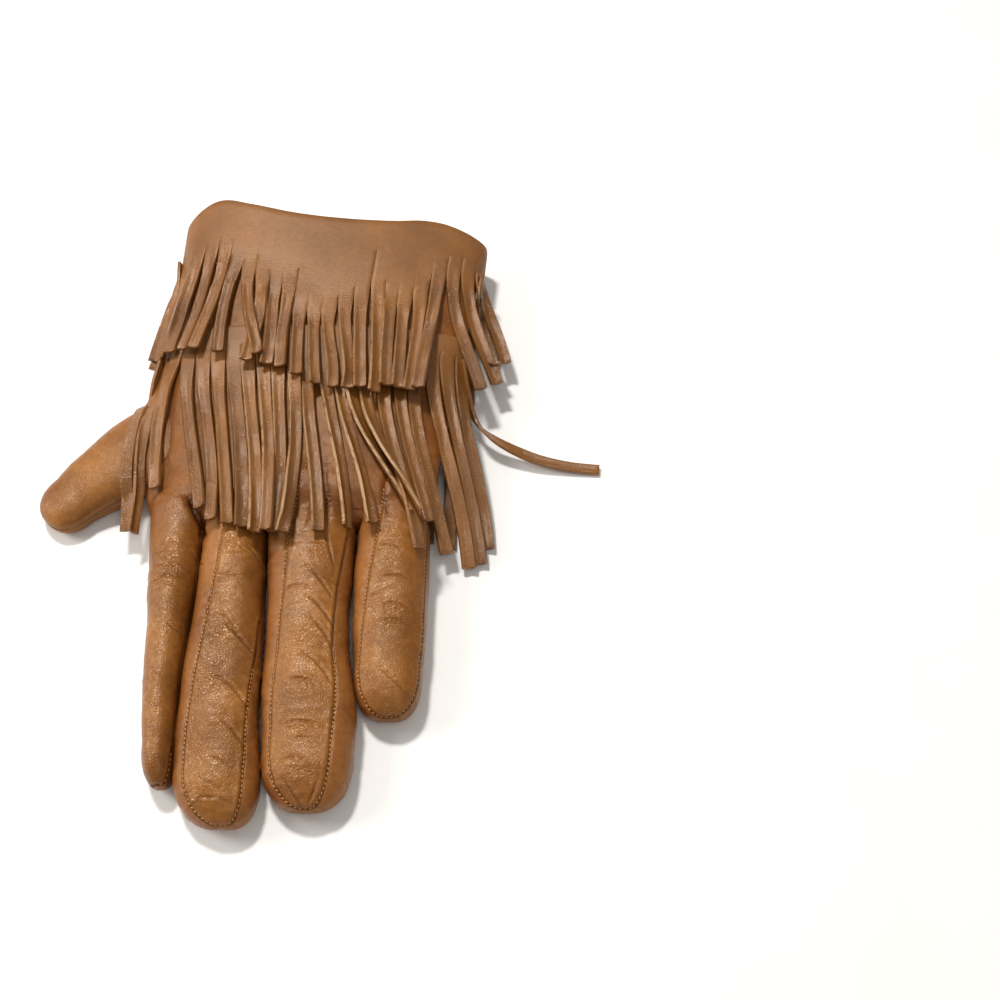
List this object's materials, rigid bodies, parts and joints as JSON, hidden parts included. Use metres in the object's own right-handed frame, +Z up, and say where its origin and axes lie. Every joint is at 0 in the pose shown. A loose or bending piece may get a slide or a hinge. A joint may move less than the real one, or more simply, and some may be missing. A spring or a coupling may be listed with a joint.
{
  "type": "fringed leather glove",
  "caption": "Short leather glove for the left hand, lying back up, with an open cuff ringed by two overlapping rows of cut leather fringe.",
  "frame": {"origin": "middle of the footprint on the surface the glove lies on", "axes": "+Y from the fingertips to the cuff, +X from the thumb side to the little finger side, +Z up out of the back of the hand"},
  "size_m": [0.1736, 0.2176, 0.0235],
  "materials": {
    "skin_leather": "smooth cognac tan leather with a soft sheen",
    "side_leather": "smooth tan leather, darker in the gaps between the fingers",
    "hem_leather": "smooth tan leather turned and rolled over the rim",
    "fringe_leather": "smooth rosy tan leather with raw cut edges"
  },
  "bodies": {
    "root": {"back_panel": "skin_leather", "palm_panel": "skin_leather", "fourchette_index_middle": "side_leather", "fourchette_middle_ring": "side_leather", "fourchette_ring_little": "side_leather", "thumb": "skin_leather", "cuff_hem": "hem_leather", "upper_fringe": "fringe_leather", "lower_fringe": "fringe_leather"}
  },
  "joints": []
}
